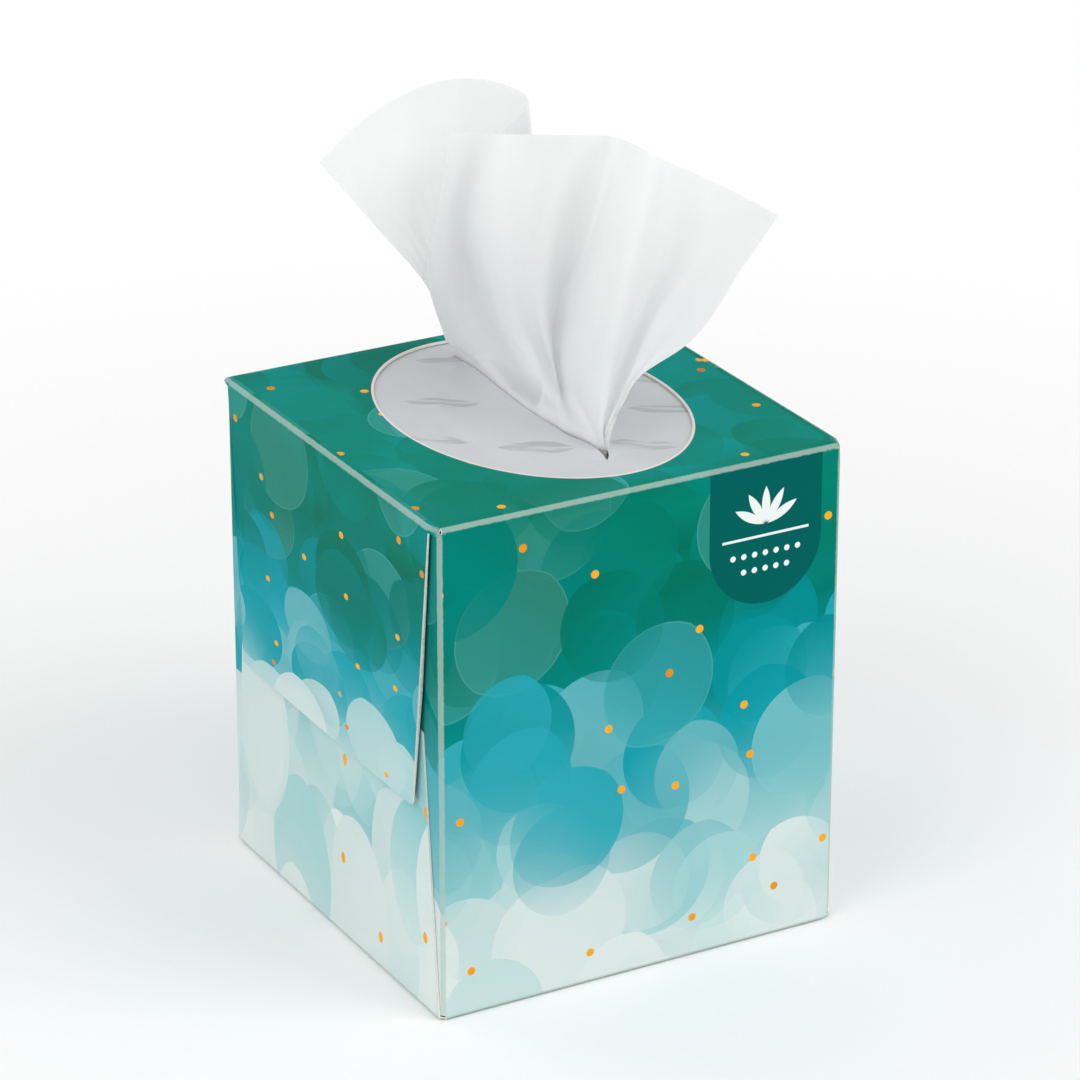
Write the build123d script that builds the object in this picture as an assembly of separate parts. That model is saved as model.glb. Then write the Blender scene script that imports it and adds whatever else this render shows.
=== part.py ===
# Upright tissue box: a folded paperboard carton with an oval mouth, a slit film window glued
# under the mouth, a pack of interfolded tissues bent over into an arch, and the first tissue
# pulled up through the slit. Millimetres. Origin: centre of the base. +Z up, front face to -Y.
# The box was loaded through its two ends, so the end faces (-X and +X) carry the closing flaps.
import os
from math import cos, pi, radians, sin

from build123d import *

# Carton
box_width = 111.0  # X, over the two end faces
box_depth = 111.0  # Y, front to back
box_height = 127.0
board = 0.5  # paperboard caliper
crease_radius = 1.0  # outside radius of a fold
glue_line = 0.1  # thickness of every glue film
seam_flap = 14.0  # flap that closes the sleeve, inside the bottom panel
seam_setback = 0.6  # the bottom panel's free edge stops this short of the back face

# End flaps: how far each reaches over its end face, how far its root stays from the corners, and
# how much narrower it is at its tip, on each side. The bottom flap passes under the top flap
flap_overlap = 19.4
top_flap = {"reach": 73.2, "inset": 3.0, "taper": 6.5}
bottom_flap = {"reach": box_height - top_flap["reach"] + flap_overlap, "inset": 3.0, "taper": 2.0}
dust_flap = {"reach": 46.0, "inset": 1.2, "taper": 9.0}
flap_corner = 1.0  # rounding of a flap's free corners

# Mouth, an oval in the top panel
mouth_side_margin = 20.4  # from an end face, X
mouth_end_margin = 7.1  # from the front or back face, Y
mouth_x = 1.7
mouth_y = 1.8

# Film window, glued under the mouth
film = 0.05
film_width = 90.0
film_corner = 2.0
film_margin = 0.2  # past the glue ring, front and back
ring_setback = 0.8  # glue ring's distance from the mouth's edge
ring_width = 3.0
slit_length = 79.0  # along Y
slit_y = mouth_y + 1.7
slit_gape = 1.8  # how far the tissue holds the slit open

# Pack of tissues, bent over into an arch. Its sheets are as long as the arch's line, and twice as
# wide as the pack, because each is folded in half
pack_thickness = 30.0
wall_gap = 2.25  # from the legs to the front and back panels
end_gap = 6.0  # from the pack to each end face
headroom = 8.5  # from the pack to the film
core_radius = 10.0  # inside corners of the arch
foot_width = 5.0  # flattened tips that the pack stands on
rest_gap = 0.3  # soft pieces stay this far from what they rest on

# Tissue pulled up through the slit. The fan is turned about Z. Its rim is given across it and away
# from its front, and its outline across it and up from the film
ply_pad = 1.0  # thickness of the plain stand-in for the crumpled sheet
neck_inset = 5.0  # from each end of the slit
stem_height = 1.0
fan_turn = 29.0
tent_width = 26.0
rim_height = 76.0
rim_steps = 12
rim = [(-52, 24), (-38, 29), (-22, 31), (-6, 25), (4, 8), (18, -5), (38, -10), (59, -15)]
outline = [
    (24, -5),
    (24, 7),
    (39, 25),
    (59, 55),
    (20, 71),
    (0, 72),
    (-19, 75),
    (-38, 66),
    (-52, 55),
    (-37, 37),
    (-26, 22),
    (-21, -5),
]

# Glue stripes on the end faces
stripe = 4.0
stripe_inset = 8.0  # from the top flap's tapered edges

layer = board + glue_line  # one ply of board and the glue over it
inner_radius = crease_radius - board
half_width = box_width / 2
half_depth = box_depth / 2
sleeve_half = half_width - crease_radius - 2 * layer  # the folded sleeve ends here
mouth_width = box_width - 2 * mouth_side_margin
mouth_length = box_depth - 2 * mouth_end_margin
film_length = mouth_length + 2 * (ring_setback + ring_width + film_margin)
film_top = box_height - board - glue_line
film_bottom = film_top - film
slit_x = mouth_x
slit_front_y = slit_y - slit_length / 2
slit_back_y = slit_y + slit_length / 2
neck_front_y = slit_front_y + neck_inset
neck_back_y = slit_back_y - neck_inset

# The arch: every sheet is as long, so the outer ones end higher up the legs
pack_width = box_width - 2 * end_gap
pack_half = half_depth - board - wall_gap
pack_top = film_bottom - headroom
floor_z = board + rest_gap
core_half = pack_half - pack_thickness
core_flat = 2 * (core_half - core_radius)
outer_radius = core_radius + pack_thickness
shoulder_z = pack_top - outer_radius  # where the legs start to bend
inner_leg = shoulder_z - floor_z
outer_leg = inner_leg - pi * pack_thickness / 2
sheet_length = 2 * inner_leg + pi * core_radius + core_flat


def strip_face(outer_points, inner_points):
    """Cross-section of board that follows a path with a fold at each corner."""
    outer = FilletPolyline(*outer_points, radius=crease_radius)
    inner = FilletPolyline(*inner_points, radius=inner_radius)
    caps = [Line(outer @ 0, inner @ 0), Line(outer @ 1, inner @ 1)]
    return make_face([*outer.edges(), *inner.edges(), *caps])


def sleeve():
    """Bottom, front, top and back panels, and the seam flap, folded round the X axis."""
    seam_z = layer
    outer = [
        (half_depth - seam_setback, 0),
        (-half_depth, 0),
        (-half_depth, box_height),
        (half_depth, box_height),
        (half_depth, seam_z),
        (half_depth - seam_flap, seam_z),
    ]
    inner = [
        (half_depth - seam_setback, board),
        (-half_depth + board, board),
        (-half_depth + board, box_height - board),
        (half_depth - board, box_height - board),
        (half_depth - board, seam_z + board),
        (half_depth - seam_flap, seam_z + board),
    ]
    return extrude(Plane.YZ * strip_face(outer, inner), amount=sleeve_half, both=True)


def flap(size, span, face_x):
    """One flap folded down from the +X end of a panel that lies in the XY plane, outside up."""
    reach, root = size["reach"], span - 2 * size["inset"]
    tip = root - 2 * size["taper"]
    start = sleeve_half - crease_radius
    outer = [(start, 0), (face_x, 0), (face_x, -reach)]
    inner = [(start, -board), (face_x - board, -board), (face_x - board, -reach)]
    folded = extrude(Plane.XZ * strip_face(outer, inner), amount=root / 2, both=True)
    outline = Polyline(
        (-root / 2, 1),
        (-root / 2, -crease_radius),
        (-tip / 2, -reach),
        (tip / 2, -reach),
        (root / 2, -crease_radius),
        (root / 2, 1),
        close=True,
    )
    shape = make_face(outline)
    free = [v for v in shape.vertices() if v.Y < 1 - reach]
    shape = fillet(free, flap_corner)
    return folded & extrude(Plane.YZ * shape, amount=box_width)


def oval(grow=0.0):
    """The mouth's outline, grown all round."""
    return Pos(mouth_x, mouth_y) * Ellipse(mouth_width / 2 + grow, mouth_length / 2 + grow)


def carton():
    """The whole blank, folded and closed: one piece of board."""
    side = Pos(0, 0, box_height) * flap(top_flap, box_depth, half_width)
    side += Rot(180, 0, 0) * flap(bottom_flap, box_depth, half_width - layer)
    dust = flap(dust_flap, box_height, half_width - 2 * layer)
    side += Pos(0, -half_depth, box_height / 2) * Rot(90, 0, 0) * dust
    side += Pos(0, half_depth, box_height / 2) * Rot(-90, 0, 0) * dust
    body = sleeve() + side + mirror(side, about=Plane.YZ)
    cutter = extrude(Pos(0, 0, box_height - 2 * board) * oval(), amount=4 * board)
    return body - cutter


def film_window():
    """The flat film patch with its slit held open."""
    patch = Pos(mouth_x, mouth_y) * RectangleRounded(film_width, film_length, film_corner)
    slit = Pos(slit_x, slit_y) * SlotOverall(slit_length, slit_gape, rotation=90)
    return extrude(Pos(0, 0, film_bottom) * (patch - slit), amount=film)


def film_glue():
    """The ring of glue between the film and the top panel."""
    ring = oval(ring_setback + ring_width) - oval(ring_setback)
    return extrude(Pos(0, 0, film_top) * ring, amount=glue_line)


def seam_glue():
    """The stripe that closes the sleeve, between the bottom panel and the seam flap."""
    middle = half_depth - (seam_flap + crease_radius) / 2
    length = 2 * (sleeve_half - stripe)
    return Pos(0, middle, board + glue_line / 2) * Box(length, seam_flap / 2, glue_line)


def flap_glue(side):
    """Stripes on one end face: between its two long flaps, and behind both on the dust flaps."""
    under_top = half_width - board
    under_bottom = under_top - layer
    overlap_low = box_height - top_flap["reach"]
    overlap_high = bottom_flap["reach"]
    stripe_length = box_depth - 2 * (top_flap["inset"] + top_flap["taper"] + stripe_inset)
    stripes = []
    for share in (0.3, 0.7):
        z = overlap_low + share * (overlap_high - overlap_low)
        x = under_top - glue_line / 2
        stripes.append(Pos(x, 0, z) * Box(glue_line, stripe_length, stripe))
    dust_inner = half_depth - dust_flap["reach"] / 2
    for y in (-dust_inner, dust_inner):
        low = Pos(under_bottom - glue_line / 2, y, overlap_low / 2)
        stripes.append(low * Box(glue_line, stripe, overlap_low / 2))
        deep = layer + glue_line
        high = Pos(under_top - deep / 2, y, (overlap_high + box_height) / 2)
        stripes.append(high * Box(deep, stripe, (box_height - overlap_high) / 2))
    group = Compound(children=stripes)
    return group if side > 0 else mirror(group, about=Plane.YZ)


def arch_path(half, radius, low):
    """Outline of one bent sheet in the YZ plane, from the back leg's end to the front leg's."""
    top = shoulder_z + radius
    return FilletPolyline((half, low), (half, top), (-half, top), (-half, low), radius=radius)


def tissue_pack():
    """The interfolded tissues as one arch, with its slanting leg ends and flattened feet."""
    outer_low = shoulder_z - outer_leg
    outer = arch_path(pack_half, outer_radius, outer_low)
    inner = arch_path(core_half, core_radius, floor_z)
    feet = []
    for sign in (1, -1):
        foot = (sign * (core_half + foot_width), floor_z)
        feet.append(Line((sign * pack_half, outer_low), foot))
        feet.append(Line(foot, (sign * core_half, floor_z)))
    face = make_face([*outer.edges(), *inner.edges(), *feet])
    return extrude(Plane.YZ * face, amount=pack_width / 2, both=True)


def from_fan(across, away):
    """X and Y of a point given across the fan and away from its front."""
    turn = radians(fan_turn)
    return (across * cos(turn) + away * sin(turn), away * cos(turn) - across * sin(turn))


def ribbon(points, z):
    """A band ply_pad wide along a smooth line through the points, level at z."""
    line = Spline(*points)
    sides = []
    for sign in (1, -1):
        offsets = []
        for i in range(rim_steps + 1):
            tangent = line % (i / rim_steps)
            across = Vector(-tangent.Y, tangent.X, 0) * sign * ply_pad / 2
            offsets.append(line @ (i / rim_steps) + across)
        sides.append(Spline(*offsets))
    caps = [Line(sides[0] @ end, sides[1] @ end) for end in (0, 1)]
    return Pos(0, 0, z) * make_face([*sides, *caps])


def fan():
    """The part above the slit, spreading from a straight neck to a wavy rim."""
    neck = []
    for i in range(len(rim)):
        share = i / (len(rim) - 1)
        neck.append((slit_x, neck_back_y + (neck_front_y - neck_back_y) * share))
    levels = [ribbon(neck, film_bottom - stem_height), ribbon(neck, film_top + stem_height)]
    stem = loft(levels, ruled=True)
    rim_line = [from_fan(*point) for point in rim]
    spread = loft([levels[1], ribbon(rim_line, film_top + rim_height)], ruled=True)
    front = Plane(
        origin=(0, 0, film_top), x_dir=(*from_fan(1, 0), 0), z_dir=(*from_fan(0, -1), 0)
    )
    edge = make_face(Polyline(*outline, close=True))
    return stem + (spread & extrude(front * edge, amount=box_depth, both=True))


def popup_tissue():
    """The first tissue: opened above the slit, gathered in it, and lying over the pack below."""
    rest = pack_half + rest_gap
    bend = outer_radius + rest_gap
    low = shoulder_z - outer_leg
    outer = arch_path(rest + ply_pad, bend + ply_pad, low)
    inner = arch_path(rest, bend, low)
    ends = [Line(outer @ end, inner @ end) for end in (0, 1)]
    face = make_face([*outer.edges(), *inner.edges(), *ends])
    drape = extrude(Plane.YZ * face, amount=pack_width / 2, both=True)

    length = neck_back_y - neck_front_y
    root = Pos(slit_x, 0, pack_top + rest_gap + ply_pad / 2)
    root *= Rectangle(tent_width, core_flat + 2 * ply_pad)
    tip = Pos(slit_x, slit_y, film_bottom - stem_height) * Rectangle(ply_pad, length)
    return drape + loft([root, tip]) + fan()


os.makedirs("parts", exist_ok=True)
parts = {
    "carton": carton(),
    "film_window": film_window(),
    "film_glue": film_glue(),
    "seam_glue": seam_glue(),
    "left_flap_glue": flap_glue(-1),
    "right_flap_glue": flap_glue(1),
    "tissue_pack": tissue_pack(),
    "popup_tissue": popup_tissue(),
}
for name, shape in parts.items():
    export_step(shape, f"parts/{name}.step")
print("sheet", round(sheet_length, 1), "by", round(2 * pack_width, 1))
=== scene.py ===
import math

import bpy
import numpy as np
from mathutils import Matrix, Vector, geometry, noise


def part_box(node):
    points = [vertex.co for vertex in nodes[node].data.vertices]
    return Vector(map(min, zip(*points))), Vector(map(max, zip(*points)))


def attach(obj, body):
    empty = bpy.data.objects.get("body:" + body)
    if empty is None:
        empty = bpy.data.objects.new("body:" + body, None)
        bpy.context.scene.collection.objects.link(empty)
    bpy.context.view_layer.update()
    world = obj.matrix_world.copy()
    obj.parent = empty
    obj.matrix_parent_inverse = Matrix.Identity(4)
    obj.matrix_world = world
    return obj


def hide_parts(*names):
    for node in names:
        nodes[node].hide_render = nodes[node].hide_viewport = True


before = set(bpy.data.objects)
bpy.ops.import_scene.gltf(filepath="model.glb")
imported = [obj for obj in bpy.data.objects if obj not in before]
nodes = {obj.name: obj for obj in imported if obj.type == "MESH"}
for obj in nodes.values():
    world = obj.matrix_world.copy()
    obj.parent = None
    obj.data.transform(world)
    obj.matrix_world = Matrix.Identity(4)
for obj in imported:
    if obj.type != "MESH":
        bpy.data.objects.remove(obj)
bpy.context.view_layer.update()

mm = 0.001


def corners(node):  # a node's box in millimetres
    low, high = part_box(node)
    return np.array(low) / mm, np.array(high) / mm


halfX, halfY, boxTop = corners("carton")[1]
filmLow, filmHigh = corners("film_window")
filmZ = filmHigh[2]
packLow, packHigh = corners("tissue_pack")
slitX = 1.7  # mm, the slit's line and the mouth's middle lie this far to the right


class Wire:  # a socket that takes part in sums
    def __init__(self, finish, socket):
        self.finish, self.socket = finish, socket

    def sum(self, operation, *values):
        return self.finish.add("Math", {"operation": operation}, dict(enumerate(values)))

    def most(self, other):
        return self.sum("MAXIMUM", self, other)

    def least(self, other):
        return self.sum("MINIMUM", self, other)

    def span(self):  # without its sign
        return self.sum("ABSOLUTE", self)

    def size(self, other):  # length of a vector with these two sides
        return self.sum("SQRT", self * self + other * other)

    def output(self, name):
        return Wire(self.finish, self.socket.node.outputs[name])

    def __add__(self, other):
        return self.sum("ADD", self, other)

    def __radd__(self, other):
        return self.sum("ADD", other, self)

    def __sub__(self, other):
        return self.sum("SUBTRACT", self, other)

    def __rsub__(self, other):
        return self.sum("SUBTRACT", other, self)

    def __mul__(self, other):
        return self.sum("MULTIPLY", self, other)

    def __rmul__(self, other):
        return self.sum("MULTIPLY", other, self)

    def __truediv__(self, other):
        return self.sum("DIVIDE", self, other)

    def __pow__(self, other):
        return self.sum("POWER", self, other)


class Finish:  # one material and its nodes
    def __init__(self, name):
        self.material = bpy.data.materials.new(name)
        self.material.use_nodes = True
        self.tree = self.material.node_tree
        self.tree.nodes.clear()

    def add(self, kind, settings=None, values=None, output=0):
        node = self.tree.nodes.new("ShaderNode" + kind)
        for name, value in (settings or {}).items():
            if name == "stops":
                setStops(node.color_ramp, value)
            else:
                setattr(node, name, value)
        for name, value in (values or {}).items():
            if isinstance(value, Wire):
                self.tree.links.new(value.socket, node.inputs[name])
            else:
                node.inputs[name].default_value = value
        return Wire(self, node.outputs[output])

    def mix(self, share, low, high):  # two colours
        return self.add("Mix", {"data_type": "RGBA"}, {0: share, 6: low, 7: high}, 2)

    def step(self, value, low, high):  # 0 below low, 1 above high, smooth between
        settings = {"interpolation_type": "SMOOTHSTEP"}
        return self.add("MapRange", settings, {0: value, 1: low, 2: high})

    def cloud(self, at, scale, detail=2.0, rough=0.5):
        values = {"Vector": at, "Scale": scale, "Detail": detail, "Roughness": rough}
        return self.add("TexNoise", {}, values)

    def parts(self, vector):
        split = self.add("SeparateXYZ", {}, {0: vector})
        return split.output("X"), split.output("Y")

    def cells(self, at, randomness):  # scattered centres, one to each unit square or so
        settings = {"voronoi_dimensions": "2D"}
        return self.add("TexVoronoi", settings, {"Vector": at, "Scale": 1, "Randomness": randomness})

    def minus(self, vector, other):
        return self.add("VectorMath", {"operation": "SUBTRACT"}, {0: vector, 1: other})

    def leaf(self, x, y, length, width):  # how far a point is outside a petal, half length by half width
        radius = (length * length + width * width) / (2 * width)
        return (x.span() + (radius - width)).size(y) - radius

    def turned(self, vector, angle):
        settings = {"rotation_type": "Z_AXIS"}
        return self.add("VectorRotate", settings, {"Vector": vector, "Angle": angle})

    def bump(self, height, strength, distance):
        return self.add("Bump", {}, {"Height": height, "Strength": strength, "Distance": distance})

    def surface(self, values, through=0.0):
        shader = self.add("BsdfPrincipled", {}, values)
        if through:  # light that comes through a thin sheet
            glow = self.add("BsdfTranslucent", {}, {"Color": (0.98, 0.98, 0.98, 1)})
            shader = self.add("MixShader", {}, {0: through, 1: shader, 2: glow})
        return self.show(shader)

    def show(self, shader):
        out = self.tree.nodes.new("ShaderNodeOutputMaterial")
        self.tree.links.new(shader.socket, out.inputs[0])
        return self.material


def setStops(ramp, stops):
    while len(ramp.elements) > 1:
        ramp.elements.remove(ramp.elements[-1])
    for i, (place, colour) in enumerate(stops):
        element = ramp.elements[0] if i == 0 else ramp.elements.new(place)
        element.position, element.color = place, paint(colour)


def paint(code):  # "RRGGBB" as the screen shows it, to linear light
    parts = [int(code[i : i + 2], 16) / 255 for i in (0, 2, 4)]
    return tuple(c / 12.92 if c <= 0.04045 else ((c + 0.055) / 1.055) ** 2.4 for c in parts) + (1,)


def meshPiece(name, points, faces, materials, flatFaces=0):  # the last faces can be flat ones
    mesh = bpy.data.meshes.new(name)
    mesh.from_pydata([tuple(point) for point in points], [], faces)
    mesh.polygons.foreach_set("use_smooth", [True] * (len(faces) - flatFaces) + [False] * flatFaces)
    for material in materials:
        mesh.materials.append(material)
    mesh.update()
    piece = bpy.data.objects.new(name, mesh)
    bpy.context.scene.collection.objects.link(piece)
    return piece


printing = {
    # colour by height on the front face, 1 at its top; the top panel goes on to 2
    "ramp": [
        (0.0, "E1EBE8"), (0.1, "CCDFDE"), (0.2, "B0D6D6"), (0.29, "8AC6CA"), (0.38, "62B3BC"),
        (0.47, "31A9B7"), (0.55, "0C9DAA"), (0.63, "008B8E"), (0.71, "00796E"), (0.78, "00847B"),
        (0.86, "00705A"), (0.94, "008271"), (1.02, "00765E"), (1.12, "009492"), (1.24, "007C66"),
        (1.38, "00948E"), (1.5, "007C68"), (1.64, "009088"), (1.78, "00745E"), (1.9, "008C88"),
    ],
    "drift": 0.12,  # how far clouds shift the ground colour, in heights
    "layers": 9,
    "layerTurn": (0.3, 0.7),  # the first layer's grid, and from one to the next
    "layerShift": (17.3, 29.1),
    "gridSize": 43.0,  # mm between petals of one layer
    "petalLength": (13.12, 4.1),  # mm, half: the least, and how much that varies
    "petalLean": 1.7,  # how far petals turn from each other at most
    "petalWidth": (0.84, 0.1),  # share of the length, and how much that varies
    "petalTint": (0.49, 0.34),  # middle and range of the shift in colour, in heights
    "petalShade": 0.3,  # how much of the height's fade a petal shows inside
    "petalWeight": (0.48, 0.42, 0.46, 0.95),  # least, its range, more towards the upper end, most
    "ghost": (0.19, "8EE2E0"),  # share and colour of the thin pale petals over the others
    "seeds": ("FFB126", "DE7410"),  # gold specks
    "seedGrid": 21.0,
    "seedRadius": 1.05,
    "seedsLeftOut": 0.38,  # share of the places that stay empty
    "tab": {"low": 17.8, "high": 48.9, "bottom": 90.3, "colour": "00605C", "ink": "EEF5F2"},
    "sprig": {"up": 110.5, "angles": (-1.05, -0.52, 0.0, 0.52, 1.05), "out": 5.2, "petal": (4.6, 1.15)},
    "rule": {"up": 107.8, "half": 12, "thick": 0.33},
    "dots": {"below": (4.5, 8.5), "reach": (10, 7), "spacing": 3.0, "radius": 0.75},
    "fold": ("B4CBC0", 0.62),  # colour and share of the pale band on folds and edges: ink worn at the fold, and a painted highlight where the rounded fold catches light
    "mouthLine": ("F6E9E4", 0.85, 1.015),  # colour, share, and its outer edge against the mouth's
}


def printedBoard():
    finish = Finish("printed_board")
    place = finish.add("UVMap", {"uv_map": "print"})
    across, up = finish.parts(place)
    stops = [(height / 2, code) for height, code in printing["ramp"]]

    def tone(height):
        return finish.add("ValToRGB", {"stops": stops}, {0: height / 2})

    colour = tone(up / boxTop + (finish.cloud(place, 0.03) - 0.5) * printing["drift"])
    size = printing["gridSize"]
    firstTurn, nextTurn = printing["layerTurn"]
    shiftX, shiftY = printing["layerShift"]
    shortest, lengthRange = printing["petalLength"]
    share, shareRange = printing["petalWidth"]
    tintMiddle, tintRange = printing["petalTint"]
    least, weightRange, upper, most = printing["petalWeight"]
    for layer in range(printing["layers"]):  # each has its own grid, turned and shifted
        turn = firstTurn + nextTurn * layer
        shift = (layer * shiftX, layer * shiftY, 0)
        grid = finish.add("Mapping", {}, {"Vector": place, "Location": shift, "Scale": (1 / size,) * 3})
        grid = finish.turned(grid, turn)
        cell = finish.cells(grid, 0.35)
        centre = cell.output("Position")
        rolls = finish.add("SeparateColor", {}, {0: cell.output("Color")})
        tint, strength = rolls.output(1), rolls.output(2)
        lean = (rolls.output(0) - 0.5) * printing["petalLean"] - turn
        x, y = finish.parts(finish.turned(finish.minus(grid, centre), lean))
        x, y = x * size, y * size
        length = shortest + lengthRange * strength
        edge = finish.leaf(x, y, length, length * (share + shareRange * tint))
        mask = 1 - finish.step(edge, -0.12, 0.12)
        centreUp = finish.parts(finish.turned(centre, -turn))[1]
        height = ((centreUp - shift[1]) * size + y * printing["petalShade"]) / boxTop
        height = height + (tint - tintMiddle) * tintRange
        weight = least + weightRange * strength + upper * y / length
        weight = finish.add("Clamp", {}, {0: weight, 1: 0, 2: most})
        colour = finish.mix(mask * weight, colour, tone(height))
        if layer % 4 == 3:  # half the petals of this layer get a thin pale one with a brighter edge
            line = finish.step(edge, -0.5, -0.2) * 0.5 + 0.5
            pale = mask * line * finish.step(rolls.output(0), 0.5, 0.51) * printing["ghost"][0]
            colour = finish.mix(pale, colour, paint(printing["ghost"][1]))

    size, radius = printing["seedGrid"], printing["seedRadius"]
    cell = finish.cells(finish.add("Mapping", {}, {"Vector": place, "Scale": (1 / size,) * 3}), 0.8)
    rolls = finish.add("SeparateColor", {}, {0: cell.output("Color")})
    seed = 1 - finish.step(cell.output("Distance") * size, radius - 0.1, radius + 0.1)
    seed = seed * finish.step(rolls.output(0), printing["seedsLeftOut"], printing["seedsLeftOut"] + 0.01)
    pale, deep = printing["seeds"]
    colour = finish.mix(seed, colour, finish.mix(rolls.output(1) ** 3, paint(pale), paint(deep)))

    tab = printing["tab"]
    middle, radius = (tab["low"] + tab["high"]) / 2, (tab["high"] - tab["low"]) / 2
    side = (across - middle).span()
    below = (tab["bottom"] + radius - up).most(0)
    onTab = 1 - finish.step(side.size(below), radius - 0.1, radius + 0.1)
    onTab = onTab * (1 - finish.step(up, boxTop, boxTop + 0.1))
    colour = finish.mix(onTab, colour, paint(tab["colour"]))

    # a plain sprig, a rule and two rows of dots on the tab
    sprig, rule, rows = printing["sprig"], printing["rule"], printing["dots"]
    spot = finish.minus(place, finish.add("CombineXYZ", {}, {0: middle, 1: sprig["up"], 2: 0.0}))
    sign = ((up - rule["up"]).span() - rule["thick"]).most(side - rule["half"])
    for angle in sprig["angles"]:
        x, y = finish.parts(finish.turned(spot, angle))
        sign = sign.least(finish.leaf(x, y - sprig["out"], *sprig["petal"]))
    spacing = rows["spacing"]
    along = (side + spacing / 2).sum("MODULO", side + spacing / 2, spacing) - spacing / 2
    for below, reach in zip(rows["below"], rows["reach"]):
        dots = along.size(up - (rule["up"] - below)) - rows["radius"]
        sign = sign.least(dots.most(side - reach))
    onSign = onTab * (1 - finish.step(sign, -0.08, 0.08))
    colour = finish.mix(onSign, colour, paint(tab["ink"]))

    mouthX, mouthY, mouthA, mouthB = carton["mouth"]
    rim = ((across - mouthX) / mouthA).size((up - boxTop - halfY - mouthY) / mouthB)
    code, share, reach = printing["mouthLine"]
    colour = finish.mix((1 - finish.step(rim, reach - 0.003, reach + 0.003)) * share, colour, paint(code))

    # a pale band along the folds and edges: partly worn ink, partly a painted highlight where the rounded
    # fold catches light
    gap = finish.add("Attribute", {"attribute_name": "foldGap"}, {}, 2)
    bandNoise = finish.cloud(place, 0.7, 3)
    wearAndHighlight = 1 - finish.step(gap + (bandNoise - 0.5) * 0.5, 0.55, 0.95)
    code, share = printing["fold"]
    colour = finish.mix(wearAndHighlight * share, colour, paint(code))
    bump = finish.bump(finish.cloud(place, 1.6, 3), 0.12, 0.00003)
    return finish.surface({
        "Base Color": colour, "Roughness": 0.42 + wearAndHighlight * 0.2, "Normal": bump, "Specular IOR Level": 0.02})


def plainBoard(name, code, rough):
    finish = Finish(name)
    place = finish.add("TexCoord", {}, {}, "Object")
    fibre = finish.cloud(place, 900.0, 4, 0.65)
    speck = finish.cloud(place, 260.0, 2)
    colour = finish.mix(finish.step(fibre, 0.35, 0.7) * 0.5, paint(code), paint("FFFFFF"))
    colour = finish.mix(finish.step(speck, 0.62, 0.7) * 0.12, colour, paint("8A8578"))
    bump = finish.bump(fibre, 0.3, 0.00005)
    return finish.surface({"Base Color": colour, "Roughness": rough, "Normal": bump})


carton = {
    "board": 0.5, "glueLine": 0.1, "foldRadius": 1.0, "seamFlap": 14.0, "seamSetback": 0.6,
    "topFlap": {"reach": 73.2, "inset": 3.0, "taper": 6.5, "layer": 0},
    "bottomFlap": {"reach": 73.2, "inset": 0.9, "taper": 6.8, "layer": 1},
    "dustFlap": {"reach": 46.0, "inset": 1.2, "taper": 9.0, "layer": 2},
    "tipRadius": 1.0,  # of a flap's corners
    "cornerGap": 0.8,  # mm that the big flaps' folds stop short of the box's corners
    "mouth": (slitX, 1.8, 35.1, 48.4),  # centre x, centre y, half width, half length
    "mouthPoints": 128,
    "foldSteps": 5,
    "grid": 3.0,  # mm between points on the flat panels
    "bow": (0.35, 0.8),  # mm that the full panels swell, and the share of it on the ends
    "flapLift": 1.0,  # mm that the glued top flap stands off at its free edge
    "flapCurl": (40.0, 33.0),  # mm down the flap where that starts, and over what length it grows
    "endPrint": {  # where the ends take their print from, in mm
        "shear": (0.3, 9.0),  # paler away from the front, slope and most
        "topFlap": (37.0, 0.0055),  # moved along, paler towards its free edge
        "bottomFlap": (12.0, 0.7, -6.0),  # moved along, squeezed and lowered
        "back": 400.0,
    },
}


def faceEdges(faces):  # every face's edges, in the face's own direction
    return [edge for face in faces for edge in zip(face, face[1:] + face[:1])]


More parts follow.
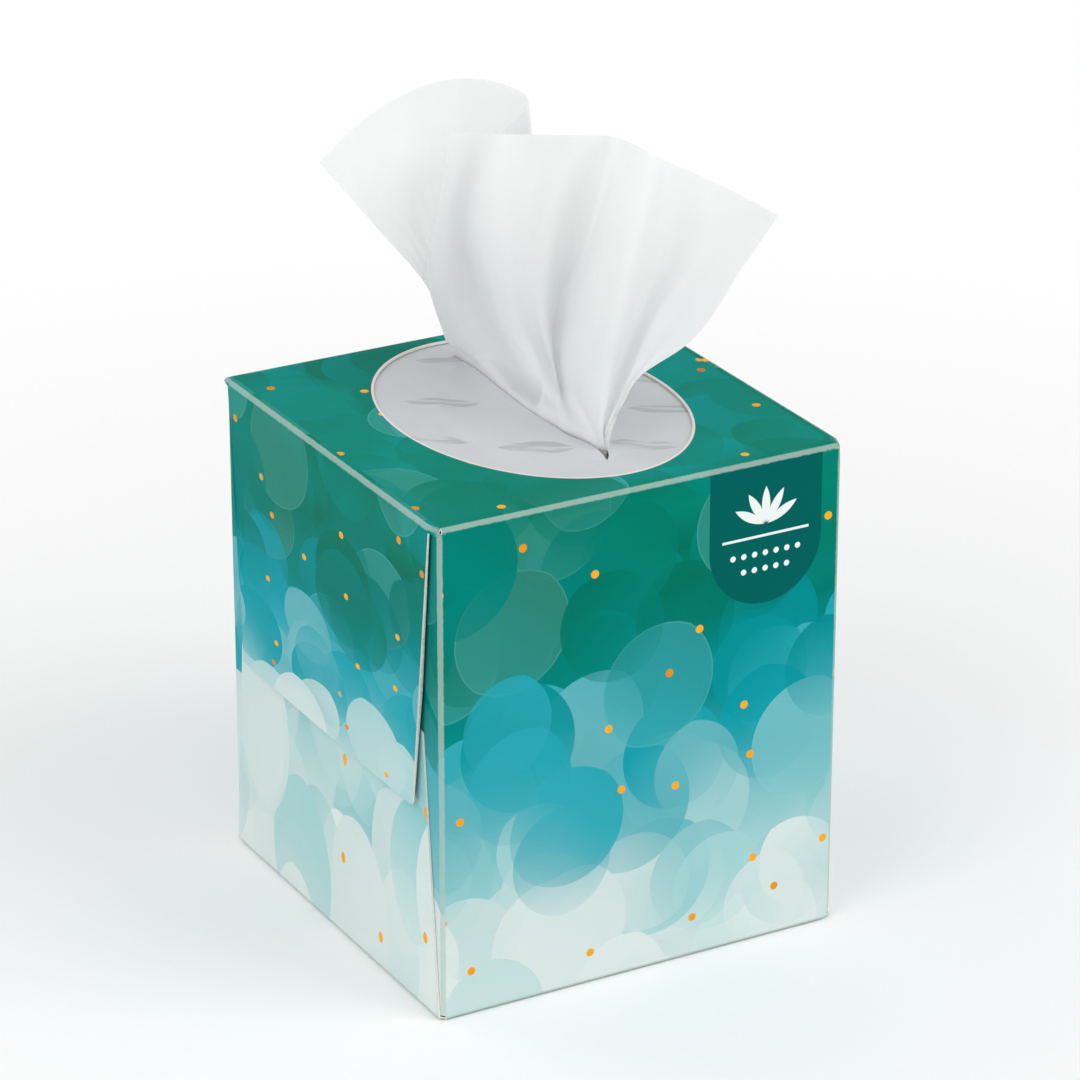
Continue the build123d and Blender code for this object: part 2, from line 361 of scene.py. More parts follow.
def makeCarton():
    board, fold = carton["board"], carton["foldRadius"]
    layer = board + carton["glueLine"]
    arc = fold * math.pi / 2
    sleeveHalf = halfX - fold - 2 * layer
    # lengths along the sleeve, round the outside: bottom, front, top, back, seam flap
    flats = [2 * halfY - carton["seamSetback"] - fold, boxTop - 2 * fold, 2 * halfY - 2 * fold,
             boxTop - 2 * fold - layer, carton["seamFlap"] - fold]
    starts = [0.0]
    for length in flats[:-1]:
        starts.append(starts[-1] + length + arc)
    total = starts[-1] + flats[-1]
    origins = [(halfY - carton["seamSetback"], 0), (-halfY, fold), (-halfY + fold, boxTop),
               (halfY, boxTop - fold), (halfY - fold, layer)]
    ways = [(-1, 0), (0, 1), (1, 0), (0, -1), (-1, 0)]

    def around(s):  # place and outward direction at s in the YZ plane, and the panel
        for i in range(4, -1, -1):
            if s >= starts[i] - 1e-9:
                break
        way = ways[i]
        out = (-way[1], way[0])
        along = s - starts[i]
        y, z = origins[i]
        if along <= flats[i] or i == 4:
            return y + way[0] * along, z + way[1] * along, out[0], out[1], i
        turn = (along - flats[i]) / fold
        y, z = y + way[0] * flats[i], z + way[1] * flats[i]
        cy, cz = y - out[0] * fold, z - out[1] * fold
        ny = out[0] * math.cos(turn) + way[0] * math.sin(turn)
        nz = out[1] * math.cos(turn) + way[1] * math.sin(turn)
        return cy + ny * fold, cz + nz * fold, ny, nz, i

    folds = [starts[i] + flats[i] + arc / 2 for i in range(4)]
    kinds = [carton["bottomFlap"], carton["dustFlap"], carton["topFlap"], carton["dustFlap"]]

    def panelSpan(i):  # where panel i's true corners lie along the sleeve
        low = starts[i] - fold if i else starts[0] - carton["seamSetback"]
        high = starts[i] + flats[i] + fold if i < 3 else starts[3] + flats[3] + fold + layer
        return low, high

    def faceX(i):
        return halfX - kinds[i]["layer"] * layer

    # outline of the blank on the +X side, in (t, s)
    outline = []
    for i in range(4):
        low, high = panelSpan(i)
        inset, taper, reach = kinds[i]["inset"], kinds[i]["taper"], kinds[i]["reach"]
        tip = faceX(i) - fold + arc + reach - fold
        bend = faceX(i) - fold + arc
        lowTip, highTip = low + inset + taper, high - inset - taper
        r = carton["tipRadius"]
        cut = 0.3 * r
        if i in (0, 2):  # the fold runs out to the corner and the flap steps in below it
            near = carton["cornerGap"]
            outline += [(sleeveHalf, low + near), (bend - 0.2, low + near), (bend + 0.5, low + inset)]
        else:
            outline += [(sleeveHalf, low + inset), (bend, low + inset)]
        outline += [(tip - r, lowTip), (tip - cut, lowTip + cut), (tip, lowTip + r)]
        outline += [(tip, highTip - r), (tip - cut, highTip - cut), (tip - r, highTip)]
        if i in (0, 2):
            outline += [(bend + 0.5, high - inset), (bend - 0.2, high - near), (sleeveHalf, high - near)]
        else:
            outline += [(bend, high - inset), (sleeveHalf, high - inset)]
    right = [(sleeveHalf, 0.0)] + outline + [(sleeveHalf, total)]
    loop = right + [(-t, s) for t, s in reversed(right)]
    mouthX, mouthY, mouthA, mouthB = carton["mouth"]
    mouthS = starts[2] + mouthY + halfY - fold
    steps = carton["mouthPoints"]
    oval = []
    for k in range(steps):
        angle = 2 * math.pi * k / steps
        oval.append((mouthX + mouthA * math.cos(angle), mouthS + mouthB * math.sin(angle)))

    points = loop + oval
    edges = [(i, (i + 1) % len(loop)) for i in range(len(loop))]
    edges += [(len(loop) + i, len(loop) + (i + 1) % steps) for i in range(steps)]

    def inLoop(t, s):
        inside = False
        for (t1, s1), (t2, s2) in zip(loop, loop[1:] + loop[:1]):
            if (s1 > s) != (s2 > s) and t < (t2 - t1) * (s - s1) / (s2 - s1) + t1:
                inside = not inside
        return inside

    def inMouth(t, s, grow=0.0):
        return ((t - mouthX) / (mouthA + grow)) ** 2 + ((s - mouthS) / (mouthB + grow)) ** 2 < 1

    def marks(breaks, spacing):  # values between fixed breaks, evenly filled
        out = []
        for a, b in zip(breaks, breaks[1:]):
            count = max(1, round((b - a) / spacing))
            out += [a + (b - a) * k / count for k in range(count)]
        return out + [breaks[-1]]

    # points on the panels and flaps, closer together on the folds
    grid, bends = carton["grid"], carton["foldSteps"]
    sBreaks = [0.0]
    for i in range(4):
        end = starts[i] + flats[i]
        sBreaks += [end + arc * k / bends for k in range(bends + 1)]
    sBreaks.append(total)
    sMarks = marks(sBreaks, grid)
    for i in range(4):
        bendStart = faceX(i) - fold
        tip = bendStart + arc + kinds[i]["reach"] - fold
        tBreaks = [0.0, sleeveHalf - 1.0] + [bendStart + arc * k / bends for k in range(bends + 1)] + [tip]
        if bendStart - sleeveHalf > 0.2:
            tBreaks.insert(2, sleeveHalf)
        tMarks = marks(tBreaks, grid)
        low = starts[i] - arc / 2 if i else -1.0
        panelMarks = [s for s in sMarks if low <= s < starts[i] + flats[i] + arc / 2]
        for s in panelMarks:
            for t in tMarks:
                for sign in (1, -1):
                    if t > sleeveHalf - 0.01 and not inLoop(sign * t, s):
                        continue
                    if inMouth(t * sign, s, 1.2) or (t == 0 and sign < 0):
                        continue
                    points.append((t * sign, s))
    for s in sMarks:
        if s > starts[4] - arc / 2:  # the seam flap, which has no flaps at its ends
            for t in marks([-sleeveHalf, sleeveHalf], grid):
                points.append((t, s))
    found = geometry.delaunay_2d_cdt([Vector(p) for p in points], edges, [], 0, 1e-5)
    flat = found[0]
    keep = []
    for face in found[2]:
        t = sum(flat[v][0] for v in face) / 3
        s = sum(flat[v][1] for v in face) / 3
        if inLoop(t, s) and not inMouth(t, s):
            keep.append(face)

    # fold the blank up; gaps holds how far each point is from a fold
    curlStart, curlLength = carton["flapCurl"]
    place, normal, gaps = [], [], []
    for t, s in flat:
        y, z, ny, nz, i = around(s)
        gap = min(abs(s - f) for f in folds)
        side = 1 if t >= 0 else -1
        e = abs(t)
        if e <= sleeveHalf + 1e-6 or i == 4:
            place.append([t, y, z])
            normal.append([0, ny, nz])
        else:
            start = faceX(i) - fold
            if e <= start:
                x, drop, turn = e, 0.0, 0.0
            elif e <= start + arc:
                turn = (e - start) / fold
                x, drop = start + fold * math.sin(turn), fold * (1 - math.cos(turn))
            else:
                turn, x, drop = math.pi / 2, start + fold, fold + e - start - arc
            y, z = y - ny * drop, z - nz * drop
            free = max(0.0, drop - curlStart) / curlLength
            lift = carton["flapLift"] * free * free * (1 - 0.4 * y / halfY) if i == 2 else 0.0
            place.append([side * (x + lift), y, z])
            normal.append([side * math.sin(turn), ny * math.cos(turn), nz * math.cos(turn)])
        if i < 4:
            gap = min(gap, abs(e - (faceX(i) - fold + arc / 2)))
        gaps.append(min(gap, 6.0))
    place, normal = np.array(place), np.array(normal)

    # the full pack pushes the big panels out a little, less towards their edges
    x, y, z = place.T
    bow, endShare = carton["bow"]
    midHeight = np.clip(1 - (2 * z / boxTop - 1) ** 2, 0, 1)
    midX = np.clip(1 - (x / halfX) ** 2, 0, 1)
    onFace = np.clip((np.abs(y) - halfY + 3) / 2.5, 0, 1) * np.abs(normal[:, 1])  # not the flaps inside
    place[:, 1] += np.sign(y) * bow * midX * midHeight * onFace
    midY = np.clip(1 - (y / halfY) ** 2, 0, 1)
    place[:, 0] += np.sign(x) * bow * endShare * midY * midHeight * np.abs(normal[:, 0])

    count = len(place)
    inner = place - normal * board
    seen = set(faceEdges(keep))
    rim = [(a, b) for a, b in faceEdges(keep) if (b, a) not in seen]
    outside = [list(f) for f in keep]
    a, b, c = (place[v] for v in outside[0])
    if np.dot(np.cross(b - a, c - a), normal[outside[0][0]]) < 0:
        outside = [f[::-1] for f in outside]
        rim = [(b, a) for a, b in rim]
    inside = [[v + count for v in reversed(f)] for f in outside]
    rimFaces = [[b, a, a + count, b + count] for a, b in rim]
    materials = [printedBoard()]
    materials += [plainBoard("board_back", "CFCBC2", 0.85), plainBoard("board_edge", "F1EDE6", 0.8)]
    faces = outside + inside + rimFaces
    piece = meshPiece("cartonBoard", np.vstack([place, inner]) * mm, faces, materials, len(rimFaces))
    mesh = piece.data
    index = [0] * len(outside) + [1] * len(inside) + [2] * len(rimFaces)
    mesh.polygons.foreach_set("material_index", index)
    gapLayer = mesh.attributes.new("foldGap", "FLOAT", "POINT")
    gapLayer.data.foreach_set("value", np.array(gaps * 2, np.float32))

    # the print runs round the front corners, and up over the top
    ends = carton["endPrint"]
    slope, mostShear = ends["shear"]
    uv = np.zeros((len(mesh.loops), 2), np.float32)
    for polygon in mesh.polygons:
        verts = [v % count for v in polygon.vertices]
        t = sum(flat[v][0] for v in verts) / len(verts)
        i = around(sum(flat[v][1] for v in verts) / len(verts))[4]
        side = 1 if t > 0 else -1
        onEnd = abs(t) > sleeveHalf + 0.2 and i < 4
        for corner, v in zip(polygon.loop_indices, verts):
            px, py, pz = place[v]
            if onEnd:
                u, w = halfX + halfY + py, pz - min(mostShear, (py + halfY) * slope)
                if i == 2:
                    shift, fade = ends["topFlap"]
                    u, w = u + shift, pz - fade * (boxTop - pz) ** 2
                elif i == 0:
                    shift, squeeze, lower = ends["bottomFlap"]
                    u, w = u + shift, squeeze * pz + lower
                u = side * u
            elif i == 3:
                u, w = ends["back"] - px, pz
            elif i == 2:
                u, w = px, boxTop + py + halfY
            elif i == 1:
                u, w = px, pz
            else:
                u, w = px, -(py + halfY)
            uv[corner] = (u, w)
    mesh.uv_layers.new(name="print").data.foreach_set("uv", uv.ravel())
    mesh.update()
    mesh.set_sharp_from_angle(angle=1.0)
    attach(piece, "root")
    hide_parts("carton")
    print("carton", len(mesh.polygons))


makeCarton()

tissue = {
    "turn": 29.0,  # degrees that the fan is turned from the front face
    "sheet": (211.0, 198.0),
    "thickness": 0.14,  # mm, two plies
    "columns": 240,
    "rows": 84,
    "pleat": 0.495,  # mm, fine pleats at the neck
    # each wave of the pleats: length, phase and share
    "pleats": [(8.5, 0.4, 0.5), (13.0, 2.1, 0.8), (19.0, 4.0, 1.0), (31.0, 1.1, 0.8)],
    "crumple": (0.7, 0.18),  # mm, broad and fine
    "arch": 40.0,  # mm, the radius that the pack's top bends round
    "hidden": {  # the half below the film, from the slit's line out to the left and back
        "rows": 40, "out": 48.0, "turnsAt": 0.45, "back": 62.0, "clear": (1.2, 0.5),
    },
    # ribs from the left free edge to the right one, each from the slit up to the rim:
    # across the fan, away from its front, and up from the film
    "ribs": [
        [(-18, 37.5, 0), (-18, 36, 3), (-21, 36, 9), (-26, 33, 21), (-37, 28, 37), (-50.5, 23, 55.5)],
        [(-16.5, 36, 0), (-16, 36, 3), (-18, 37, 10), (-24, 35, 26), (-32, 31, 48), (-38, 29, 66)],
        [(-14.5, 33, 0), (-13, 35, 3), (-14, 38, 11), (-18, 37, 27), (-21, 35, 51), (-21, 33, 73)],
        [(-12, 30, 0), (-8, 32, 3), (-8, 37, 9), (-9, 35, 26), (-9, 33, 50), (-10, 32, 73.5)],
        [(-9, 25, 0), (-4, 26, 3), (-3, 33, 10), (1, 31, 24), (2, 30, 47), (-0.5, 29, 70)],
        [(-12, 29, 0), (-9, 28, 3), (-11, 32, 8), (-14, 33, 20), (-14, 32, 40), (-11, 29.5, 59)],
        [(-18.5, 37, 0), (-19, 37, 3), (-21, 34, 6), (-25, 32, 21), (-22, 30, 43), (-19.5, 27.5, 61)],
        [(-13, 25.5, 0), (-13, 25, 3), (-16, 24, 8), (-20, 24, 22), (-19, 23, 45), (-15.5, 21, 63.5)],
        [(-4, 5.5, 0), (-5, 5, 3), (-2, 16, 4), (-11, 26, 18), (-15, 25, 40), (-10, 17.5, 64.5)],
        [(4, -9.5, 0), (4, -10, 3), (4, -1, 7), (-2, 5, 24), (-5, 6, 48), (-1.5, 4, 69)],
        [(10, -17, 0), (9, -18, 3), (7, -9, 9), (4, -4, 26), (6, -3, 50), (11, -4, 71.5)],
        [(15, -23.5, 0), (15, -24, 3), (7, -4, 11), (8, 4, 26), (15, 2, 47), (19, -5, 71.5)],
        [(16.5, -25, 0), (16, -25, 3), (12, -18, 16), (15, -16, 35), (18, -13, 54), (22.5, -11, 72.5)],
        [(18, -25.5, 0), (17, -26, 3), (18, -22, 17), (23, -21, 39), (27, -18, 55), (30.5, -13, 69)],
        [(18.5, -25.5, 0), (18, -26, 3), (20, -18, 14), (26, -11, 33), (31, -9, 49), (34.5, -10, 66)],
        [(18.5, -25.5, 0), (18, -26, 3), (23, -20, 13), (31, -12, 29), (41, -9, 45), (45, -8, 60.5)],
        [(19, -25, 0), (19, -25, 3), (24, -21, 14), (39, -16, 25), (51, -14, 43), (58.5, -14, 55)],
    ],
}


def through(points, knots, at):  # smooth values through points, along their first axis
    column = (-1,) + (1,) * (points.ndim - 1)
    step = np.diff(knots).reshape(column)
    slopes = np.diff(points, axis=0) / step
    tangents = np.zeros_like(points)
    tangents[0], tangents[-1] = slopes[0], slopes[-1]
    tangents[1:-1] = (slopes[:-1] * step[1:] + slopes[1:] * step[:-1]) / (step[:-1] + step[1:])
    i = np.clip(np.searchsorted(knots, at, side="right") - 1, 0, len(knots) - 2)
    width = step[i]
    f = (at - knots[i]).reshape(column) / width
    return (points[i] * (2 * f**3 - 3 * f**2 + 1) + tangents[i] * width * (f**3 - 2 * f**2 + f)
            + points[i + 1] * (3 * f**2 - 2 * f**3) + tangents[i + 1] * width * (f**3 - f**2))


def smooth(value):  # 0 to 1 with soft ends
    value = min(1.0, max(0.0, value))
    return value * value * (3 - 2 * value)


def gridNormals(grid):
    normal = np.cross(np.gradient(grid, axis=0), np.gradient(grid, axis=1))
    return normal / np.maximum(np.linalg.norm(normal, axis=2, keepdims=True), 1e-9)


def thinSheet(name, grid, thickness, material):  # a closed thin piece from a grid of points
    normal = gridNormals(grid) * thickness / 2
    across, along = grid.shape[:2]
    points = np.vstack([(grid + normal).reshape(-1, 3), (grid - normal).reshape(-1, 3)]) * mm
    count = across * along
    faces = []
    for i in range(across - 1):
        for j in range(along - 1):
            a, b = i * along + j, (i + 1) * along + j
            faces.append((a, b, b + 1, a + 1))
            faces.append((a + count, a + 1 + count, b + 1 + count, b + count))
    edge = [i * along for i in range(across)] + [(across - 1) * along + j for j in range(1, along)]
    edge += [i * along + along - 1 for i in range(across - 2, -1, -1)] + list(range(along - 2, 0, -1))
    for a, b in zip(edge, edge[1:] + edge[:1]):
        faces.append((b, a, a + count, b + count))
    piece = meshPiece(name, points, faces, [material], len(edge))
    piece.data.set_sharp_from_angle(angle=1.0)
    return piece


def tissuePaper():
    finish = Finish("tissue")
    place = finish.add("TexCoord", {}, {}, "Object")
    colour = finish.mix(finish.cloud(place, 120.0, 2), paint("F6F6F7"), paint("FBFBFB"))
    bump = finish.bump(finish.cloud(place, 1400.0, 3, 0.6), 0.25, 0.00012)  # crepe
    return finish.surface({
        "Base Color": colour, "Roughness": 0.95, "Normal": bump,
        "Sheen Weight": 0.15, "Specular IOR Level": 0.2}, through=0.55)


def makeTissue():  # gives the lines where the sheet comes up through the film
    ribs = np.array(tissue["ribs"], float)
    rise = np.linalg.norm(np.diff(ribs, axis=1), axis=2).mean(axis=0)
    upKnots = np.concatenate([[0], np.cumsum(rise)]) / rise.sum()
    span = np.linalg.norm(np.diff(ribs[:, -1], axis=0), axis=1)
    acrossKnots = np.concatenate([[0], np.cumsum(span)]) / span.sum()
    up = np.linspace(0, 1, tissue["rows"])
    across = np.linspace(0, 1, tissue["columns"])
    ribLines = through(ribs.transpose(1, 0, 2), upKnots, up)  # rows x ribs x 3
    grid = through(ribLines.transpose(1, 0, 2), acrossKnots, across)  # columns x rows x 3
    turn = math.radians(tissue["turn"])
    side, out, height = grid[..., 0], grid[..., 1], grid[..., 2] + filmZ
    x = side * math.cos(turn) + out * math.sin(turn)
    y = out * math.cos(turn) - side * math.sin(turn)
    grid = np.stack([x, y, height], axis=2)
    normal = gridNormals(grid)

    # pleats that fade towards the rim, and a crumpled surface
    ripple = np.zeros(grid.shape[:2])
    for length, phase, size in tissue["pleats"]:
        sway = phase + 1.5 * np.sin(3 * up + phase)
        ripple += size * np.sin(2 * math.pi * (across * span.sum())[:, None] / length + sway[None, :])
    fade = (1 - up) ** 1.6 * np.clip(up * 12, 0, 1)
    grid = grid + normal * (tissue["pleat"] * ripple * fade)[..., None]

    def crumpled(stepAcross, stepUp, seed):
        places = [[(i * stepAcross, j * stepUp, seed) for j in range(len(up))] for i in range(len(across))]
        return np.array([[noise.noise(Vector(place)) for place in row] for row in places])

    broad, fine = tissue["crumple"]
    crumple = broad * crumpled(0.06, 0.045, 3.1) + fine * crumpled(0.19, 0.09, 7.7)
    grid = grid + normal * (crumple * np.clip(up * 5, 0, 1))[..., None]

    # below the film the sheet opens out over the pack, out to one side and back under itself
    bendRadius = tissue["arch"]
    shoulder, coreFlat = packHigh[2] - bendRadius, packHigh[1] - bendRadius
    along = (0.5 - across) * tissue["sheet"][0]

    def arch(s, clear):  # a point on the pack's outline, s from the middle of its top
        radius = bendRadius + clear
        bend = radius * math.pi / 2
        e = abs(s)
        if e < coreFlat:
            y, z = e, shoulder + radius
        elif e < coreFlat + bend:
            angle = (e - coreFlat) / radius
            y, z = coreFlat + radius * math.sin(angle), shoulder + radius * math.cos(angle)
        else:
            y, z = coreFlat + radius, shoulder - (e - coreFlat - bend)
        return (y if s > 0 else -y), z

    hidden = tissue["hidden"]
    lower = np.zeros((len(across), hidden["rows"], 3))
    for j in range(hidden["rows"]):
        r = (j + 1) / hidden["rows"]
        if r < hidden["turnsAt"]:
            x, clear = slitX - hidden["out"] * r / hidden["turnsAt"], hidden["clear"][0]
        else:
            back = (r - hidden["turnsAt"]) / (1 - hidden["turnsAt"])
            x, clear = slitX - hidden["out"] + hidden["back"] * back, hidden["clear"][1]
        spread, drop = smooth(r / 0.3), smooth(r / 0.15)
        for i in range(len(across)):
            y, z = arch(grid[i, 0, 1] * (1 - spread) + along[i] * spread, clear)
            lower[i, j] = grid[i, 0] * (1 - drop) + np.array([x, y, z]) * drop
    neckRows = []
    for height in (1.0, 2.6):  # the film's lips follow the sheet
        row = np.argmin(np.abs(grid[..., 2].mean(axis=0) - filmZ - height))
        neckRows.append(grid[:, row, :2])
    grid = np.concatenate([lower[:, ::-1], grid], axis=1)
    piece = thinSheet("pulledTissue", grid, tissue["thickness"], tissuePaper())
    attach(piece, "root")
    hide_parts("popup_tissue")
    print("tissue")
    return np.vstack(neckRows)


neck = makeTissue()

film = {
    "grid": 1.3,  # mm between rows
    "columns": 34,  # on each side of the slit
    "thickness": 0.05,
    "slit": (-34.0, 42.4),
    "slitWidth": 0.3,  # mm, half, where the tissue doesn't open it
    "gap": 0.1,  # mm between the tissue and the lips
    "lift": 2.6,  # mm that the tissue raises the lips
    "liftReach": 5.0,  # mm from the slit over which that dies away
    "ripple": 0.5,  # mm
    "mark": {"spacing": 25.0, "turn": 0.62, "length": 9.5, "width": 3.4, "colour": "A4A8AC"},
}


def filmPlastic():
    finish = Finish("film")
    place = finish.add("TexCoord", {}, {}, "Object")
    drawn = finish.add("Mapping", {}, {"Vector": place, "Scale": (1.0, 0.35, 1.0)})
    bump = finish.bump(finish.cloud(drawn, 420.0, 3), 0.3, 0.0004)
    colour = finish.mix(finish.cloud(place, 60.0, 3), paint("D2D5D8"), paint("DFE1E4"))
    mark = film["mark"]
    size = mark["spacing"]
    settings = {"Vector": place, "Rotation": (0, 0, mark["turn"]), "Scale": (1 / (size * mm),) * 3}
    grid = finish.add("Mapping", {}, settings)
    x, y = finish.parts(finish.minus(grid, finish.cells(grid, 0.3).output("Position")))
    leaf = finish.leaf(y * size, x * size, mark["length"], mark["width"])
    brush = finish.cloud(finish.add("Mapping", {}, {"Vector": grid, "Scale": (1.5, 14.0, 1.0)}), 1.0, 2)
    ink = (1 - finish.step(leaf, -0.3, 0.1)) * finish.step(brush, 0.35, 0.6)
    colour = finish.mix(ink * 0.55, colour, paint(mark["colour"]))
    return finish.surface({
        "Base Color": colour, "Roughness": 0.35, "Normal": bump, "Alpha": 0.82, "Specular IOR Level": 0.4})


def makeFilm(neck):
    low, high = filmLow[:2], filmHigh[:2]
    slitLow, slitHigh = film["slit"]
    rows = np.linspace(low[1], high[1], round((high[1] - low[1]) / film["grid"]) + 1)

    def fromEnds(y):  # 1 at the slit's middle, 0 at its ends
        middle, half = (slitLow + slitHigh) / 2, (slitHigh - slitLow) / 2
        return np.clip(1 - ((y - middle) / half) ** 2, 0, 1)

    # the slit's two lips at each row, clear of the tissue
    lips = {-1: [], 1: []}
    for y in rows:
        near = neck[np.abs(neck[:, 1] - y) < 1.6, 0]
        for side in (-1, 1):
            if not slitLow < y < slitHigh:
                lips[side].append(slitX)
            elif len(near) < 2:
                lips[side].append(slitX + side * film["slitWidth"] * fromEnds(y) ** 0.5)
            else:
                edge = near.min() if side < 0 else near.max()
                lips[side].append(edge + side * film["gap"])
    closed = (rows < slitLow) | (rows > slitHigh)
    for side in (-1, 1):
        averaged = np.convolve(np.pad(lips[side], 2, "edge"), np.ones(5) / 5, "valid")
        lips[side] = np.where(closed, slitX, averaged)
    lips[1] = np.maximum(lips[1], np.where(closed, slitX, slitX + film["slitWidth"]))
    points, faces, index = [], [], {}

    def point(x, y):
        key = (round(x, 3), round(y, 3))
        if key not in index:
            index[key] = len(points)
            points.append([x, y])
        return index[key]

    columns = film["columns"]
    for side in (-1, 1):
        edge = low[0] if side < 0 else high[0]
        for j in range(len(rows) - 1):
            for i in range(columns):
                quad = []
                for dj, di in ((0, 0), (0, 1), (1, 1), (1, 0)):
                    lip = lips[side][j + dj]
                    f = ((i + di) / columns) ** 1.3  # closer together at the slit
                    quad.append(point(lip + (edge - lip) * f, rows[j + dj]))
                faces.append(quad if side > 0 else quad[::-1])
    flat = np.array(points)
    x, y = flat.T
    leftLip, rightLip = np.interp(y, rows, lips[-1]), np.interp(y, rows, lips[1])
    away = np.where(x < (leftLip + rightLip) / 2, leftLip - x, x - rightLip)
    lift = film["lift"] * np.exp(-np.maximum(away, 0) / film["liftReach"]) * fromEnds(y) ** 0.5
    mouthX, mouthY, mouthA, mouthB = carton["mouth"]
    fromMiddle = np.sqrt(((x - mouthX) / mouthA) ** 2 + ((y - mouthY) / mouthB) ** 2)
    inside = np.clip((1 - fromMiddle) * 6, 0, 1)
    ripple = []
    for px, py in flat:
        broad, fine = Vector((px * 0.1, py * 0.04, 1.0)), Vector((px * 0.3, py * 0.1, 5.0))
        ripple.append(noise.noise(broad) + 0.4 * noise.noise(fine))
    z = filmZ - film["thickness"] + inside * (lift + film["ripple"] * np.array(ripple) - 0.3)
    piece = meshPiece("filmWindow", np.column_stack([flat, z]) * mm, faces, [filmPlastic()])
    solid = piece.modifiers.new("Solidify", "SOLIDIFY")
    solid.thickness, solid.offset = film["thickness"] * mm, -1
    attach(piece, "root")
    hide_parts("film_window")
    print("film")


makeFilm(neck)


def glue():
    finish = Finish("glue")
    place = finish.add("TexCoord", {}, {}, "Object")
    colour = finish.mix(finish.cloud(place, 300.0), paint("EDE7D3"), paint("F7F3E6"))
    return finish.surface({"Base Color": colour, "Roughness": 0.5})


glueMaterial = glue()
for name in ("film_glue", "seam_glue", "left_flap_glue", "right_flap_glue"):
    nodes[name].data.materials.clear()
    nodes[name].data.materials.append(glueMaterial)
print("glue")

stack = {
    "sheetLength": tissue["sheet"][0], "outerRadius": tissue["arch"], "thickness": 30.0,
    "bundles": 12,  # bands that stand for the folded sheets
    "columns": 9,  # points across the stack
    "steps": (10, 14),  # points down a leg and round a bend
    "gap": 0.14,
    "uneven": 0.7,  # mm that the bands' side edges wander
}


def archPath(radius, leg):  # one face of a bent band in the YZ plane, from back to front
    shoulder = packHigh[2] - stack["outerRadius"]
    flat = packHigh[1] - stack["outerRadius"]
    path = []
    legSteps, bendSteps = stack["steps"]
    for k in range(legSteps):
        path.append((flat + radius, shoulder - leg * (1 - k / legSteps)))
    for k in range(bendSteps + 1):
        angle = math.pi / 2 * (1 - k / bendSteps)
        path.append((flat + radius * math.sin(angle), shoulder + radius * math.cos(angle)))
    return path + [(-y, z) for y, z in reversed(path)]


def makeStack():
    outer, thickness, bundles = stack["outerRadius"], stack["thickness"], stack["bundles"]
    half = packHigh[0]
    flat = packHigh[1] - outer
    columns = stack["columns"]
    points, faces = [], []
    for k in range(bundles):
        inner = outer - thickness + thickness * k / bundles
        deep = thickness / bundles - stack["gap"]
        leg = (stack["sheetLength"] - math.pi * (inner + deep / 2) - 2 * flat) / 2
        leg = min(leg, packHigh[2] - outer - packLow[2])  # no lower than the pack's foot
        ring = archPath(inner + deep, leg) + archPath(inner, leg)[::-1]
        start = len(points)
        for i in range(columns):
            for j, (y, z) in enumerate(ring):
                x = half * (2 * i / (columns - 1) - 1)
                if i in (0, columns - 1):
                    wander = noise.noise(Vector((min(j, len(ring) - j) * 0.05, k * 3.7, i)))
                    x *= 1 - stack["uneven"] / half * (0.5 + wander)
                points.append((x, y, z))
        size = len(ring)
        for i in range(columns - 1):
            for j in range(size):
                a, b = start + i * size + j, start + i * size + (j + 1) % size
                faces.append((a, b, b + size, a + size))
        for i, turn in ((0, 1), (columns - 1, -1)):
            base = start + i * size
            for j in range(size // 2 - 1):
                quad = (base + j, base + size - 1 - j, base + size - 2 - j, base + j + 1)
                faces.append(quad[::turn])
    piece = meshPiece("tissueStack", np.array(points) * mm, faces, [tissuePaper()])
    piece.data.set_sharp_from_angle(angle=0.8)
    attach(piece, "root")
    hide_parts("tissue_pack")
    print("stack")


makeStack()

studio = {
    "sky": 0.68,
    "lamps": {  # place, what it points at, size in metres and power
        "key": ((0.55, -0.75, 0.95), (0, 0, 0.1), 0.7, 4.4),
        "fill": ((-0.8, -0.35, 0.85), (0, 0, 0.1), 0.7, 2.8),
        "back": ((-0.6, 0.9, 0.8), (0, 0, 0.12), 0.6, 1.4),
    },
    "floor": (3.0, -0.0002),  # half its side, and its height
    "shadowReach": 0.5,
    "camera": {"lens": 160.1, "turn": -29.09, "height": 23.25, "place": (-0.5225, -0.9446, 0.5563)},
}


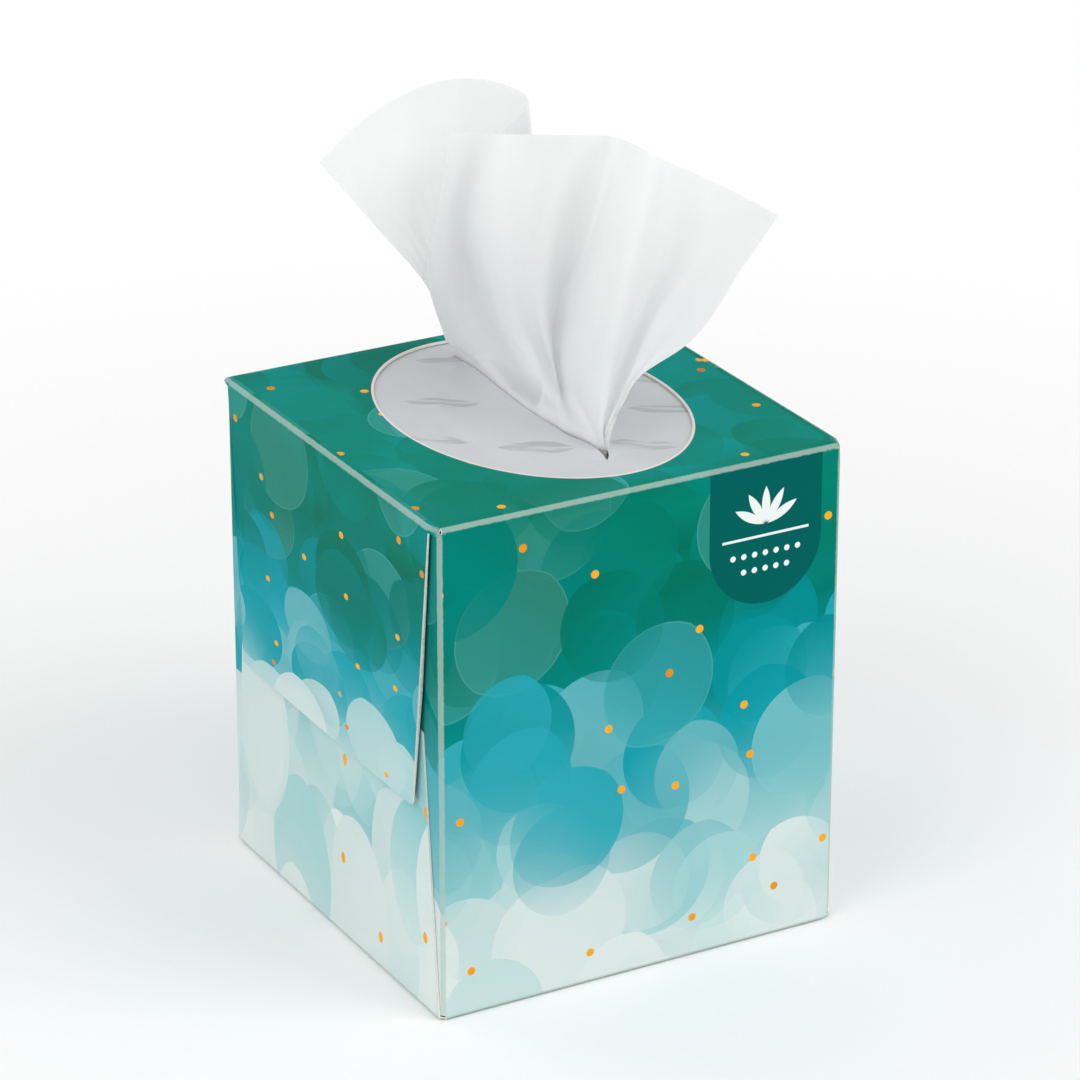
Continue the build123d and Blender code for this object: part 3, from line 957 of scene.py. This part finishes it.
def makeStage():
    size, level = studio["floor"]
    square = [(-size, -size, level), (size, -size, level), (size, size, level), (-size, size, level)]
    finish = Finish("floor")
    place = finish.add("TexCoord", {}, {}, "Object")
    away = finish.add("VectorMath", {"operation": "LENGTH"}, {0: place}, "Value")
    path = finish.add("LightPath")
    seen = path.output("Is Glossy Ray").most(path.output("Is Transmission Ray"))
    seen = seen.most(path.output("Is Camera Ray"))
    pale = finish.add("BsdfDiffuse", {}, {"Color": (0.97, 0.97, 0.97, 1)})
    white = finish.add("Emission", {}, {"Strength": 1.0})
    far = finish.step(away, studio["shadowReach"] * 0.3, studio["shadowReach"])
    finish.show(finish.add("MixShader", {}, {0: seen * far, 1: pale, 2: white}))
    floor = meshPiece("floor", square, [(0, 1, 2, 3)], [finish.material])


def makeWorld():
    world = bpy.data.worlds.new("studio")
    bpy.context.scene.world = world
    world.use_nodes = True
    tree = world.node_tree
    tree.nodes.clear()
    path = tree.nodes.new("ShaderNodeLightPath")
    either = tree.nodes.new("ShaderNodeMath")
    either.operation = "MAXIMUM"
    tree.links.new(path.outputs["Is Camera Ray"], either.inputs[0])
    tree.links.new(path.outputs["Is Transmission Ray"], either.inputs[1])
    strength = tree.nodes.new("ShaderNodeMapRange")
    tree.links.new(either.outputs[0], strength.inputs[0])
    strength.inputs[3].default_value = studio["sky"]
    strength.inputs[4].default_value = 1.0
    sky = tree.nodes.new("ShaderNodeBackground")
    sky.inputs[0].default_value = (1, 1, 1, 1)
    tree.links.new(strength.outputs[0], sky.inputs[1])
    out = tree.nodes.new("ShaderNodeOutputWorld")
    tree.links.new(sky.outputs[0], out.inputs[0])


def lamp(name, place, target, size, power):
    data = bpy.data.lights.new(name, "AREA")
    data.shape, data.size, data.energy = "SQUARE", size, power
    item = bpy.data.objects.new(name, data)
    item.location = place
    item.rotation_euler = (Vector(target) - Vector(place)).to_track_quat("-Z", "Y").to_euler()
    bpy.context.scene.collection.objects.link(item)


def makeCamera():
    camera = studio["camera"]
    data = bpy.data.cameras.new("view")
    data.lens, data.sensor_width = camera["lens"], 36.0
    item = bpy.data.objects.new("view", data)
    turn, height = math.radians(camera["turn"]), math.radians(camera["height"])
    level = math.cos(height)
    back = Vector((math.sin(turn) * level, -math.cos(turn) * level, math.sin(height)))
    item.location = camera["place"]
    item.rotation_euler = (-back).to_track_quat("-Z", "Y").to_euler()
    bpy.context.scene.collection.objects.link(item)
    bpy.context.scene.camera = item


makeStage()
makeWorld()
for lampName, settings in studio["lamps"].items():
    lamp(lampName, *settings)
makeCamera()
print("stage, light and camera")
bpy.context.scene.view_settings.view_transform = "Standard"
